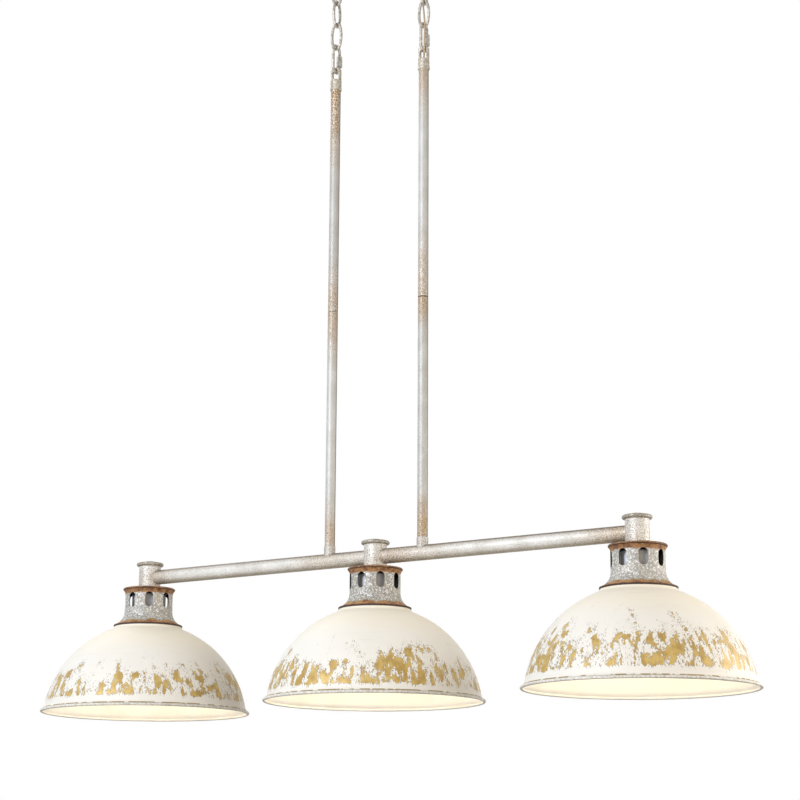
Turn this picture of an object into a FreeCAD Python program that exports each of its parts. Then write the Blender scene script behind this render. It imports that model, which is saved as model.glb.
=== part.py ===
import FreeCAD, Part
import math
import os

# Linear island pendant: a ceiling canopy, two short chains, two jointed rods and a bar with three dome
# shades. Millimetres, +Z up. The origin is the centre of the ceiling face. The bar runs along X.
# Heights named in the lamp, rod and chain sections are counted up from the plane of the shade rims.

Vector = FreeCAD.Vector

# ---- driving dimensions ----
LAMP_SPACING = 358.0        # between shade centres
ROD_SPACING = 137.0         # between the two rods
ROD_SECTION = 304.8         # one 12 inch down rod
SHADE_OUTER_R = 136.0       # to the outside of the rolled rim
CANOPY_DEPTH = 24.0

GAP = 0.45                  # between pieces that hang on each other
FIT = 0.05                  # radial clearance of a shaft in its hole

# shade: a pressed dome with a rolled rim and a raised foot for the neck
DOME_R = 132.8
DOME_CENTRE_H = -15.0
SHEET = 1.0
FLARE_H = 8.5               # where the dome starts to flare out to the rolled rim
FLARE_R = 7.6
FLARE_TURN = 57.0           # slope, in degrees from upright, with which the flare ends
BEAD_R = 1.8
BEAD_H = 1.7
CREASE = 0.4                # radius of the line pressed in above the rolled rim
FOOT_R = 44.2
FOOT_CURVE_R = 5.0
FOOT_TOP_H = 112.9
SHADE_HOLE_R = 20.5

# neck: a slotted gallery between shade and lid
NECK_R = 31.4
NECK_SHEET = 1.2
NECK_BOTTOM_H = 113.0
NECK_EDGE = 2.2                # height of the thick edge round the neck's foot
NECK_FLARE_R = 19.0
NECK_FLARE_TOP_H = 133.4
NECK_LIP_START_H = 157.4
NECK_LIP_R = 33.4
NECK_TOP_H = 161.0
SLOT_COUNT = 8
SLOT_WIDTH = 10.4
SLOT_BOTTOM_H = 137.0
SLOT_TOP_H = 156.6
NECK_TURN = {"left": -5.0, "middle": 0.0, "right": -8.0}   # degrees, as the lamps were screwed up

LID_R = 34.2
LID_BOTTOM_H = 161.2
LID_TOP_H = 164.0

# stub, bar and cap
STUB_R = 14.3
STUB_WALL = 1.5
STUB_FLOOR = 3.0
STUB_TOP_H = 193.7
BAR_R = 9.5
BAR_WALL = 1.2
BAR_H = 178.5
CAP_R = 17.75
CAP_BEAD_R = 2.35
CAP_TOP_H = 201.0
CAP_PLUG = 6.0

# rods
ROD_R = 6.5
ROD_WALL = 1.0
ROD_BOTTOM_H = 197.4
ROD_CHAMFER = 0.45
SEAT_R = 7.2
SEAT_DEPTH = 6.0
COUPLING_R = ROD_R - ROD_WALL - FIT
COUPLING_LENGTH = 30.0
WIRE_HOLE_R = 3.5

# loop on top of each rod
LOOP_COLLAR_R = 7.75
LOOP_COLLAR = 14.8
LOOP_SOCKET = 8.0
LOOP_HEIGHT = 18.1
LOOP_HALF_WIDTH = 6.8
LOOP_HALF_OPENING = 4.3
LOOP_DEPTH = 5.4
LOOP_ARCH = 4.5
LOOP_SHOULDER = 3.8
LOOP_EDGE_R = 2.2
LOOP_BORE_R = 2.6

# quick link
QUICK_WIRE_R = 2.0
QUICK_LENGTH = 42.0
QUICK_BEND_R = 7.3
QUICK_NUT_R = 4.3
QUICK_NUT = 14.5
QUICK_NUT_RISE = 12.2       # nut's lower end above the link's lowest point
QUICK_GATE_RISE = (13.8, 18.0)

# chain
CHAIN_WIRE_R = 1.9
CHAIN_LENGTH = 39.6
CHAIN_WIDTH = 18.5
CHAIN_END_R = 5.2           # centre line of a link's end

# canopy
CANOPY_LENGTH = 250.0
CANOPY_WIDTH = 112.0
CANOPY_SHEET = 1.2
CANOPY_EDGE_R = 7.0
CANOPY_RING_R = 9.0
CANOPY_RING_WIRE_R = 2.3
CANOPY_STEM_R = 5.6
CANOPY_FLANGE_R = 9.0
CANOPY_FLANGE = 3.0
NIPPLE_R = 5.0
NIPPLE_ABOVE = 9.0
LOCK_NUT_ACROSS = 14.0
LOCK_NUT = 5.0
STUD_X = 105.0
STUD_R = 2.0
STUD_BELOW = 5.0
BALL_NUT_R = 6.0
STRAP_LENGTH = 232.0
STRAP_WIDTH = 22.0
STRAP = 2.5
BOX_SCREW_SPACING = 88.9
BOX_SLOT_WIDTH = 5.0
BOX_SLOT_LENGTH = 22.0

# lampholder and bulb
HUSK_R = 22.0
HUSK_SHEET = 0.8
HUSK_TOP_H = 160.4
HOLDER_R = 19.5
HOLDER_MOUTH_H = 106.4
HOLDER_SHOULDER_H = 146.0
HOLDER_HUB_R = 10.0
HOLDER_HUB_TOP_H = 154.0
HOLDER_CAVITY_TOP_H = 140.5
SHELL_BOTTOM_H = 111.0
SHELL_WALL = 0.5
BULB_THREAD_R = 13.0
BULB_THREAD_DEPTH = 0.55
BULB_THREAD_PITCH = 3.6
BULB_BASE_BOTTOM_H = 111.0
BULB_BASE_TOP_H = 135.0
BULB_CONTACT_H = 139.5
BULB_CONTACT_R = 4.5
BULB_GLOBE_R = 30.0
BULB_GLOBE_H = 61.0
BULB_NECK_R = 12.6
BULB_GLASS = 0.9
RING_R = 26.0
RING_HEIGHT = 5.0
STEM_R = 4.85
STEM_BORE_R = 3.2
STEM_TOP_H = 174.0
STEM_NUT_ACROSS = 14.0
STEM_NUT = 4.0

# wires
CORD_R = 1.2
LEAD_R = 1.0
ARC_SHARE = 0.45            # of the shorter run beside a bend that its arc takes
CORD_ROOM = 2000.0          # largest bend radius there is room for
LEAD_ROOM = 6.5

LAMPS = {"left": -LAMP_SPACING, "middle": 0.0, "right": LAMP_SPACING}
SIDES = {"left": -ROD_SPACING / 2, "right": ROD_SPACING / 2}

# ---- heights of what hangs on what, from the rods up to the ceiling ----
ROD_JOINT_H = ROD_BOTTOM_H + ROD_SECTION
ROD_TOP_H = ROD_JOINT_H + ROD_SECTION
LOOP_BASE_H = ROD_TOP_H + LOOP_COLLAR
LOOP_TOP_H = LOOP_BASE_H + LOOP_HEIGHT
QUICK_BOTTOM_H = LOOP_TOP_H - LOOP_ARCH - GAP - 2 * QUICK_WIRE_R - 0.1
QUICK_TOP_H = QUICK_BOTTOM_H + QUICK_LENGTH
LOW_LINK_H = QUICK_TOP_H - 2 * QUICK_WIRE_R - GAP - 2 * CHAIN_WIRE_R
LINK_PITCH = CHAIN_LENGTH - 4 * CHAIN_WIRE_R - GAP
MIDDLE_LINK_H = LOW_LINK_H + LINK_PITCH + GAP - FIT     # these two links hang on each other in line
TOP_LINK_H = MIDDLE_LINK_H + LINK_PITCH
RING_BOTTOM_H = TOP_LINK_H + CHAIN_LENGTH - 2 * CHAIN_WIRE_R - GAP - 2 * CANOPY_RING_WIRE_R
RING_CENTRE_H = RING_BOTTOM_H + CANOPY_RING_WIRE_R + CANOPY_RING_R
CANOPY_FLOOR_H = RING_CENTRE_H + CANOPY_RING_R + CANOPY_STEM_R + 1.6
CEILING_H = CANOPY_FLOOR_H + CANOPY_DEPTH


# ---- helpers ----
def point(x, h, y=0.0):
    return Vector(x, y, h - CEILING_H)


def outline(start, *steps):
    """Face in the XZ plane. A step is the next corner, or a pair: a point on an arc and its end."""
    edges, here = [], start
    for step in steps + (start,):
        if isinstance(step[0], tuple):
            middle, end = step
            edges.append(Part.Arc(point(*here), point(*middle), point(*end)).toShape())
        else:
            end = step
            edges.append(Part.makeLine(point(*here), point(*end)))
        here = end
    return Part.Face(Part.Wire(edges))


def turned(face):
    return face.revolve(Vector(0, 0, 0), Vector(0, 0, 1), 360)


def rod(radius, low, high, x=0.0):
    return Part.makeCylinder(radius, high - low, point(x, low))


def tube(radius, bore, low, high):
    return rod(radius, low, high).cut(rod(bore, low - 1, high + 1))


def bar_rod(radius, x_low, x_high, h=BAR_H):
    return Part.makeCylinder(radius, x_high - x_low, point(x_low, h), Vector(1, 0, 0))


def at(shape, x):
    return shape.translated(Vector(x, 0, 0))


def hex_nut(across, height, hole_r, low):
    corners = [Vector(math.cos(math.radians(a)), math.sin(math.radians(a)), 0) * (across / math.sqrt(3))
               for a in range(0, 361, 60)]
    body = Part.Face(Part.makePolygon(corners)).extrude(Vector(0, 0, height))
    body.translate(point(0, low))
    crown = turned(outline((0, low), (across / 2 + 0.3, low), (across * 0.6, low + 1),
                           (across * 0.6, low + height - 1), (across / 2 + 0.3, low + height),
                           (0, low + height)))
    return body.common(crown).cut(rod(hole_r, low - 1, low + height + 1))


def round_bar(edges, radius):
    """Round wire swept along joined edges."""
    first = edges[0]
    start = first.valueAt(first.FirstParameter)
    direction = first.tangentAt(first.FirstParameter)
    section = Part.Wire(Part.makeCircle(radius, start, direction))
    return Part.Wire(edges).makePipeShell([section], True, False)


def on_circle(centre, radius, degrees):
    """(across, height) of a point on a circle, counted from straight out, turning up."""
    angle = math.radians(degrees)
    return centre[0] + radius * math.cos(angle), centre[1] + radius * math.sin(angle)


def crown(edge_r, edge_h, top_h):
    """Arc that closes a turned outline with a flat dome: its ball's centre lies on the axis."""
    rise = top_h - edge_h
    ball = (edge_r ** 2 + rise ** 2) / (2 * rise)
    return on_circle((0, top_h - ball), ball, 90 - math.degrees(math.asin(edge_r / ball)) / 2), (0, top_h)


def save(name, shape, count=1):
    if not shape.isValid() or len(shape.Solids) != count:
        raise ValueError(f"{name}: valid {shape.isValid()}, solids {len(shape.Solids)}")
    shape.exportStep(f"parts/{name}.step")


# ---- shade ----
def flare_point(inset, turn):
    """(across, height) on the flare's hollow curve, which leaves the dome smoothly at FLARE_H and turns outwards."""
    lean = math.degrees(math.asin((FLARE_H - DOME_CENTRE_H) / DOME_R))
    centre = on_circle((0, DOME_CENTRE_H), DOME_R + FLARE_R, lean)
    return on_circle(centre, FLARE_R + inset, 180 + lean + (FLARE_TURN - lean) * turn)


def dome_solid(inset):
    """The dome filled solid, its skin moved inwards by inset. The foot's hollow curve meets the dome smoothly."""
    dome, curve = DOME_R - inset, FOOT_CURVE_R + inset
    curve_x = FOOT_R + FOOT_CURVE_R
    span = DOME_R + FOOT_CURVE_R
    curve_h = DOME_CENTRE_H + math.sqrt(span ** 2 - curve_x ** 2)
    meet = (curve_x * dome / span, DOME_CENTRE_H + (curve_h - DOME_CENTRE_H) * dome / span)
    top = FOOT_TOP_H - inset
    rise = math.degrees(math.asin((curve_h - top) / curve))
    foot = on_circle((curve_x, curve_h), curve, 180 + rise)
    lean = math.degrees(math.atan2(curve_x, curve_h - DOME_CENTRE_H))
    halfway = on_circle((curve_x, curve_h), curve, (180 + rise + 270 - lean) / 2)
    belly_h = (FLARE_H + meet[1]) / 2
    belly = (math.sqrt(dome ** 2 - (belly_h - DOME_CENTRE_H) ** 2), belly_h)
    wall, flare_bend, edge = (flare_point(inset, turn) for turn in (0, 0.5, 1))
    return turned(outline((0, BEAD_H), (edge[0], BEAD_H), edge, (flare_bend, wall), (belly, meet),
                          (halfway, foot), (0, top)))


def shade():
    sheet = dome_solid(0).cut(dome_solid(SHEET)).cut(rod(SHADE_HOLE_R, 0, FOOT_TOP_H + 5))
    bead = Part.makeTorus(SHADE_OUTER_R - BEAD_R, BEAD_R, point(0, BEAD_H))
    edge_r, edge_h = flare_point(0, 1)
    crease = Part.makeTorus(edge_r, CREASE, point(0, edge_h + CREASE / 2))
    return sheet.fuse(bead).cut(crease)


# ---- neck, lid and what they hide ----
def neck_outline(inset):
    """Half section of the neck filled solid. The flare ends in an upright edge."""
    radius, flare = NECK_R - inset, NECK_FLARE_R + inset
    centre = (NECK_R + NECK_FLARE_R, NECK_FLARE_TOP_H)
    drop = math.degrees(math.asin((NECK_FLARE_TOP_H - NECK_BOTTOM_H - NECK_EDGE) / flare))
    foot, bend = on_circle(centre, flare, 180 + drop), on_circle(centre, flare, 180 + drop / 2)
    lip = (NECK_LIP_R - inset, NECK_TOP_H)
    lip_bend = ((radius + lip[0]) / 2 - 0.35, (NECK_LIP_START_H + NECK_TOP_H) / 2)
    return outline((0, NECK_BOTTOM_H), (foot[0], NECK_BOTTOM_H), foot, (bend, (radius, NECK_FLARE_TOP_H)),
                   (radius, NECK_LIP_START_H), (lip_bend, lip), (0, NECK_TOP_H))


def vent_slot():
    """Slot-shaped bar that points to -Y, long enough to pierce the wall."""
    half, low, high = SLOT_WIDTH / 2, SLOT_BOTTOM_H + SLOT_WIDTH / 2, SLOT_TOP_H - SLOT_WIDTH / 2
    face = outline((-half, low), ((0, SLOT_BOTTOM_H), (half, low)), (half, high),
                   ((0, SLOT_TOP_H), (-half, high)))
    return face.extrude(Vector(0, -2 * NECK_R, 0))


def neck(turn):
    outer = turned(neck_outline(0))
    inner = turned(neck_outline(NECK_SHEET))
    wall = outer.cut(inner)
    slots = []
    for number in range(SLOT_COUNT):
        slot = vent_slot()
        slot.rotate(Vector(0, 0, 0), Vector(0, 0, 1), turn + number * 360 / SLOT_COUNT)
        slots.append(slot)
    return wall.cut(slots)


def neck_lid():
    edge = (LID_TOP_H - LID_BOTTOM_H) / 2
    middle = LID_BOTTOM_H + edge
    disc = turned(outline((0, LID_BOTTOM_H), (LID_R - edge, LID_BOTTOM_H),
                          ((LID_R, middle), (LID_R - edge, LID_TOP_H)), (0, LID_TOP_H)))
    return disc.cut(rod(STEM_R + FIT, LID_BOTTOM_H - 1, LID_TOP_H + 1))


def husk():
    low = FOOT_TOP_H + 0.1
    cup = turned(outline((0, low), (HUSK_R, low), (HUSK_R, HUSK_TOP_H - 2),
                         ((HUSK_R - 0.6, HUSK_TOP_H - 0.6), (HUSK_R - 2, HUSK_TOP_H)), (0, HUSK_TOP_H)))
    hollow = rod(HUSK_R - HUSK_SHEET, low - 1, HUSK_TOP_H - 2)
    return cup.cut(hollow).cut(rod(STEM_R + FIT, HUSK_TOP_H - 5, HUSK_TOP_H + 1))


def lampholder():
    shell_r = BULB_THREAD_R + FIT + SHELL_WALL + FIT
    body = turned(outline((0, HOLDER_MOUTH_H), (HOLDER_R, HOLDER_MOUTH_H), (HOLDER_R, HOLDER_SHOULDER_H - 3),
                          ((HOLDER_R - 1, HOLDER_SHOULDER_H - 1), (HOLDER_R - 4, HOLDER_SHOULDER_H)),
                          (HOLDER_HUB_R, HOLDER_SHOULDER_H + 2), (HOLDER_HUB_R, HOLDER_HUB_TOP_H),
                          (0, HOLDER_HUB_TOP_H)))
    cavity = rod(shell_r, HOLDER_MOUTH_H - 1, HOLDER_CAVITY_TOP_H)
    hub_bore = rod(STEM_R + FIT, HOLDER_SHOULDER_H, HOLDER_HUB_TOP_H + 1)
    wire_bore = rod(STEM_BORE_R, HOLDER_CAVITY_TOP_H - 1, HOLDER_SHOULDER_H + 1)
    return body.cut([cavity, hub_bore, wire_bore])


def screw_shell():
    inner = BULB_THREAD_R + FIT
    return tube(inner + SHELL_WALL, inner, SHELL_BOTTOM_H, HOLDER_CAVITY_TOP_H - 2)


def shade_ring():
    """Threaded ring that clamps the shade from below against the neck."""
    top = FOOT_TOP_H - SHEET - 0.05
    low = top - RING_HEIGHT
    ring = turned(outline((0, low), (RING_R - 1.5, low), ((RING_R - 0.4, low + 0.4), (RING_R, low + 1.5)),
                          (RING_R, top), (0, top)))
    grips = [Part.makeCylinder(1.2, RING_HEIGHT, point(0, low) + Vector(RING_R + 0.4, 0, 0)).rotated(
        Vector(0, 0, 0), Vector(0, 0, 1), a) for a in range(0, 360, 24)]
    return ring.cut(grips).cut(rod(HOLDER_R + FIT, low - 1, top + 1))


def socket_stem():
    return tube(STEM_R, STEM_BORE_R, HOLDER_SHOULDER_H + 0.2, STEM_TOP_H)


def stem_nuts():
    """One nut clamps the husk under the lid, the other holds the stem on the stub's floor."""
    lower = hex_nut(STEM_NUT_ACROSS, STEM_NUT, STEM_R + FIT, HUSK_TOP_H - 2.05 - STEM_NUT)
    upper = hex_nut(STEM_NUT_ACROSS, STEM_NUT, STEM_R + FIT, LID_TOP_H + STUB_FLOOR + 0.05)
    return [lower, upper]


# ---- bulb ----
def bulb_base():
    """Cap with rolled thread, a black insulator's place closed flat, and the centre contact."""
    low, high = BULB_BASE_BOTTOM_H, BULB_BASE_TOP_H
    crests = int((high - low - 4) / BULB_THREAD_PITCH)
    h = low + 2
    steps = [(BULB_THREAD_R - BULB_THREAD_DEPTH, low), (BULB_THREAD_R - BULB_THREAD_DEPTH, h)]
    for _ in range(crests):
        steps.append(((BULB_THREAD_R, h + BULB_THREAD_PITCH / 2),
                      (BULB_THREAD_R - BULB_THREAD_DEPTH, h + BULB_THREAD_PITCH)))
        h += BULB_THREAD_PITCH
    steps += [(BULB_THREAD_R - BULB_THREAD_DEPTH, high), (BULB_CONTACT_R + 3, high + 2),
              (BULB_CONTACT_R, high + 2), crown(BULB_CONTACT_R, high + 2, BULB_CONTACT_H)]
    cap = turned(outline((0, low), *steps))
    return cap.cut(rod(BULB_THREAD_R - BULB_THREAD_DEPTH - 0.4, low - 1, high - 1))


def globe_solid(inset):
    """The bulb's glass filled solid: a ball that narrows through a hollow curve to the neck."""
    ball, neck_r = BULB_GLOBE_R - inset, BULB_NECK_R - inset
    top = BULB_BASE_BOTTOM_H + 4
    shoulder = on_circle((0, BULB_GLOBE_H), ball, 38)
    waist = (neck_r + 0.6, BULB_BASE_BOTTOM_H - 6)
    curve = ((shoulder[0] + waist[0]) / 2 - 0.9, (shoulder[1] + waist[1]) / 2 - 0.6)
    neck_h = BULB_BASE_BOTTOM_H - 0.1
    side = on_circle((0, BULB_GLOBE_H), ball, -26)
    plug_r = BULB_THREAD_R - BULB_THREAD_DEPTH - 0.4 - FIT - inset
    return turned(outline((0, BULB_GLOBE_H - ball), (side, shoulder), (curve, waist), (plug_r, neck_h),
                          (plug_r, top), (0, top)))


def bulb_globe():
    open_end = rod(BULB_NECK_R - 3 * BULB_GLASS, BULB_BASE_BOTTOM_H, BULB_BASE_BOTTOM_H + 10)
    return globe_solid(0).cut(globe_solid(BULB_GLASS)).cut(open_end)


# ---- stub, cap and bar ----
def stub(ports):
    """Upright pipe with a floor. ports lists the sides, -1 or 1 along X, on which the bar opens into it."""
    low = LID_TOP_H + 0.05
    body = rod(STUB_R, low, STUB_TOP_H).cut(rod(STUB_R - STUB_WALL, low + STUB_FLOOR, STUB_TOP_H + 1))
    body = body.cut(rod(STEM_R + FIT, low - 1, low + STUB_FLOOR + 1))
    for side in ports:
        x_low, x_high = sorted((0, side * (STUB_R + 1)))
        body = body.cut(bar_rod(BAR_R - BAR_WALL, x_low, x_high))
    return body


def stub_cap():
    plug_r = STUB_R - STUB_WALL - FIT
    low = STUB_TOP_H + 0.05
    bead_r = CAP_R - CAP_BEAD_R
    bead_h = low + CAP_BEAD_R
    dome_edge = (bead_r - 1.6, bead_h + 1.9)
    return turned(outline((0, low - CAP_PLUG), (plug_r, low - CAP_PLUG), (plug_r, low), (bead_r, low),
                          ((CAP_R, bead_h), (bead_r - 0.3, low + 2 * CAP_BEAD_R)),
                          dome_edge, crown(*dome_edge, CAP_TOP_H)))


def bar(x_left, x_right, rod_x):
    body = bar_rod(BAR_R, x_left, x_right).cut(bar_rod(BAR_R - BAR_WALL, x_left - 1, x_right + 1))
    ends = [rod(STUB_R, BAR_H - 40, BAR_H + 40, x) for x in (x_left, x_right)]
    return body.cut(ends).cut(rod(WIRE_HOLE_R, BAR_H, BAR_H + 20, rod_x))


# ---- rods ----
def rod_seat():
    """Collar that is coped to sit on the bar and takes the foot of the rod."""
    collar = rod(SEAT_R, BAR_H, ROD_BOTTOM_H).cut(bar_rod(BAR_R, -20, 20))
    socket = rod(ROD_R + FIT, ROD_BOTTOM_H - SEAT_DEPTH, ROD_BOTTOM_H + 1)
    return collar.cut([socket, rod(WIRE_HOLE_R, BAR_H - 1, ROD_BOTTOM_H)])


def down_rod(low, high, chamfered):
    """One section of rod. Its end at the joint with the other section is chamfered."""
    wall = tube(ROD_R, ROD_R - ROD_WALL, low, high)
    depth = ROD_CHAMFER if chamfered == "top" else -ROD_CHAMFER
    end = high if chamfered == "top" else low
    ring = turned(outline((ROD_R - ROD_CHAMFER, end), (ROD_R + 1, end), (ROD_R + 1, end - depth - depth / 0.45),
                          (ROD_R, end - depth)))
    return wall.cut(ring)


def rod_coupling():
    half = COUPLING_LENGTH / 2
    return tube(COUPLING_R, COUPLING_R - 1.6, ROD_JOINT_H - half, ROD_JOINT_H + half)


def rod_loop():
    """Turned collar with two grooves, and on it a flat arch that the quick link hangs in."""
    low, high = ROD_TOP_H, LOOP_BASE_H
    body_r = LOOP_COLLAR_R - 0.35
    groove_r = body_r - 0.5
    steps = [(LOOP_COLLAR_R - 0.5, low), (LOOP_COLLAR_R, low + 0.5), (LOOP_COLLAR_R, low + 3.4),
             (body_r, low + 3.9)]
    for groove in (low + 8.2, low + 11.6):
        steps += [(body_r, groove - 0.8), ((groove_r, groove), (body_r, groove + 0.8))]
    steps += [(body_r, high - 0.8), (body_r - 0.8, high), (0, high)]
    collar = turned(outline((0, low), *steps))
    arch = loop_arch(high)
    socket = rod(ROD_R + FIT, low - 1, low + LOOP_SOCKET)
    bore = rod(LOOP_BORE_R, low, high + 1)
    return collar.cut([socket, bore]).fuse(arch)


def loop_arch(base):
    """Flat arch with sloped shoulders. The opening's edges are rounded, so that a wire rolls in it."""
    half, top = LOOP_HALF_WIDTH, LOOP_TOP_H
    crown_h = top - LOOP_ARCH
    spring_h = crown_h - LOOP_HALF_OPENING
    plate = outline((-half, base - 0.5), (half, base - 0.5), (half, top - LOOP_SHOULDER),
                    (half - LOOP_SHOULDER, top), (LOOP_SHOULDER - half, top), (-half, top - LOOP_SHOULDER))
    hole = outline((-LOOP_HALF_OPENING, base - 2), (LOOP_HALF_OPENING, base - 2),
                   (LOOP_HALF_OPENING, spring_h), ((0, crown_h), (-LOOP_HALF_OPENING, spring_h)))
    depth = Vector(0, LOOP_DEPTH, 0)
    arch = plate.extrude(depth).cut(hole.extrude(depth))
    inner = [e for e in arch.Edges if on_opening(e, base)]
    arch = arch.makeFillet(LOOP_EDGE_R, inner)
    return arch.translated(Vector(0, -LOOP_DEPTH / 2, 0))


def on_opening(edge, base):
    """True for the arch's inner edges that lie in its two flat faces."""
    ends = [v.Point for v in edge.Vertexes]
    flat = all(abs(p.y - ends[0].y) < 0.01 for p in ends)
    inside = all(abs(p.x) < LOOP_HALF_OPENING + 0.01 for p in ends)
    level = abs(ends[0].z - ends[-1].z) < 0.01 and ends[0].z < point(0, base).z
    return flat and inside and not level


# ---- chain and quick link ----
def flat_loop(parts):
    """Edges in the XZ plane from (start, middle, end) arcs and (start, end) lines."""
    edges = []
    for part in parts:
        corners = [point(*p) for p in part]
        edges.append(Part.Arc(*corners).toShape() if len(corners) == 3 else Part.makeLine(*corners))
    return edges


def chain_link(low):
    """Oval link in the XZ plane: two round ends joined by two slightly bowed sides."""
    half_long = CHAIN_LENGTH / 2 - CHAIN_WIRE_R
    half_wide = CHAIN_WIDTH / 2 - CHAIN_WIRE_R
    reach = half_long - CHAIN_END_R
    bow = (half_wide ** 2 + reach ** 2 - CHAIN_END_R ** 2) / (2 * (half_wide - CHAIN_END_R))
    middle_h = low + CHAIN_LENGTH / 2
    lean = math.degrees(math.atan2(reach, bow - half_wide))
    end, side = (0, middle_h + reach), (half_wide - bow, middle_h)
    other_end = (0, middle_h - reach)
    join, other_join = on_circle(end, CHAIN_END_R, lean), on_circle(other_end, CHAIN_END_R, -lean)
    half = flat_loop([
        (on_circle(other_end, CHAIN_END_R, -90), on_circle(other_end, CHAIN_END_R, -(90 + lean) / 2), other_join),
        (other_join, on_circle(side, bow, 0), join),
        (join, on_circle(end, CHAIN_END_R, (90 + lean) / 2), on_circle(end, CHAIN_END_R, 90)),
    ])
    right = round_bar(half, CHAIN_WIRE_R)
    left = right.mirror(Vector(0, 0, 0), Vector(1, 0, 0))
    return right.fuse(left).removeSplitter()


def quarter_turned(shape):
    """From the XZ plane into the YZ plane, +X to +Y."""
    return shape.rotated(Vector(0, 0, 0), Vector(0, 0, 1), 90)


def quick_link():
    """Open link whose gate gap, in its back leg, the nut covers."""
    low = QUICK_BOTTOM_H + QUICK_WIRE_R + QUICK_BEND_R
    high = QUICK_TOP_H - QUICK_WIRE_R - QUICK_BEND_R
    leg = QUICK_BEND_R
    gate_low, gate_high = (QUICK_BOTTOM_H + rise for rise in QUICK_GATE_RISE)
    path = flat_loop([
        ((leg, gate_low), (leg, low)),
        ((leg, low), (0, low - leg), (-leg, low)),
        ((-leg, low), (-leg, high)),
        ((-leg, high), (0, high + leg), (leg, high)),
        ((leg, high), (leg, gate_high)),
    ])
    return quarter_turned(round_bar(path, QUICK_WIRE_R))


def quick_link_nut():
    low = QUICK_BOTTOM_H + QUICK_NUT_RISE
    nut = hex_nut(2 * QUICK_NUT_R * math.cos(math.radians(30)), QUICK_NUT, QUICK_WIRE_R + FIT, low)
    return nut.translated(Vector(0, QUICK_BEND_R, 0))


# ---- canopy ----
def stadium(length, width, height):
    """Upright oblong block with round ends, standing on Z = 0."""
    end = width / 2
    middle = length / 2 - end
    straight = Part.makeBox(2 * middle, width, height, Vector(-middle, -end, 0))
    ends = [Part.makeCylinder(end, height, Vector(x, 0, 0)) for x in (-middle, middle)]
    return straight.fuse(ends).removeSplitter()


def canopy_shell():
    """Oblong pan, open towards the ceiling."""
    outer = stadium(CANOPY_LENGTH, CANOPY_WIDTH, CANOPY_DEPTH).translated(Vector(0, 0, -CANOPY_DEPTH))
    inset = 2 * CANOPY_SHEET
    inner = stadium(CANOPY_LENGTH - inset, CANOPY_WIDTH - inset, CANOPY_DEPTH).translated(
        Vector(0, 0, CANOPY_SHEET - CANOPY_DEPTH))
    outer = outer.makeFillet(CANOPY_EDGE_R, level_edges(outer, -CANOPY_DEPTH))
    inner = inner.makeFillet(CANOPY_EDGE_R - CANOPY_SHEET, level_edges(inner, CANOPY_SHEET - CANOPY_DEPTH))
    holes = [Part.makeCylinder(NIPPLE_R + FIT, 10, Vector(x, 0, -CANOPY_DEPTH - 4)) for x in SIDES.values()]
    holes += [Part.makeCylinder(STUD_R + FIT, 10, Vector(x, 0, -CANOPY_DEPTH - 4)) for x in (-STUD_X, STUD_X)]
    return outer.cut(inner).cut(holes)


def level_edges(shape, z):
    return [e for e in shape.Edges if all(abs(v.Z - z) < 0.01 for v in e.Vertexes)]


def crossbar():
    """Strap that is screwed to the outlet box through its two slots and carries the canopy's studs."""
    strap = stadium(STRAP_LENGTH, STRAP_WIDTH, STRAP).translated(Vector(0, 0, -STRAP))
    slot = stadium(BOX_SLOT_LENGTH, BOX_SLOT_WIDTH, 3 * STRAP).translated(Vector(0, 0, -2 * STRAP))
    half = BOX_SCREW_SPACING / 2
    cuts = [at(slot, -half), at(slot, half)]
    cuts += [Part.makeCylinder(STUD_R + FIT, 3 * STRAP, Vector(x, 0, -2 * STRAP)) for x in (-STUD_X, STUD_X)]
    return strap.cut(cuts)


def canopy_stud():
    return Part.makeCylinder(STUD_R, CANOPY_DEPTH + STUD_BELOW, Vector(0, 0, -CANOPY_DEPTH - STUD_BELOW))


def ball_nut():
    """Round-headed nut under the canopy: a washer face, a grooved waist and a ball."""
    top = CANOPY_FLOOR_H - 0.05
    ball_h = top - 7.6
    lean = math.degrees(math.asin(3.2 / BALL_NUT_R))
    nut = turned(outline((0, top), (5.6, top), (5.6, top - 1.6), (3.2, top - 2.4),
                         on_circle((0, ball_h), BALL_NUT_R, 90 - lean),
                         (on_circle((0, ball_h), BALL_NUT_R, 0), (0, ball_h - BALL_NUT_R))))
    return nut.cut(rod(STUD_R + FIT, top - STUD_BELOW - 0.3, top + 1))


def canopy_loop():
    """Ring in the YZ plane under a flange, with a hollow threaded nipple that goes up through the canopy."""
    ring = Part.makeTorus(CANOPY_RING_R, CANOPY_RING_WIRE_R, point(0, RING_CENTRE_H), Vector(1, 0, 0))
    floor = CANOPY_FLOOR_H - 0.05
    stem_low = RING_CENTRE_H + CANOPY_RING_R - 1.0
    stem = turned(outline((0, stem_low), (3.8, stem_low), ((4.3, floor - 4.6), (CANOPY_STEM_R, floor - CANOPY_FLANGE)),
                          (CANOPY_FLANGE_R - 0.6, floor - CANOPY_FLANGE), (CANOPY_FLANGE_R, floor - CANOPY_FLANGE + 0.6),
                          (CANOPY_FLANGE_R, floor), (NIPPLE_R, floor), (NIPPLE_R, floor + NIPPLE_ABOVE),
                          (0, floor + NIPPLE_ABOVE)))
    bore = rod(LOOP_BORE_R, RING_CENTRE_H, floor + NIPPLE_ABOVE + 1)
    return ring.fuse(stem).cut(bore)


def loop_lock_nut():
    return hex_nut(LOCK_NUT_ACROSS, LOCK_NUT, NIPPLE_R + FIT, CANOPY_FLOOR_H + CANOPY_SHEET + 0.05)


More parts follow.
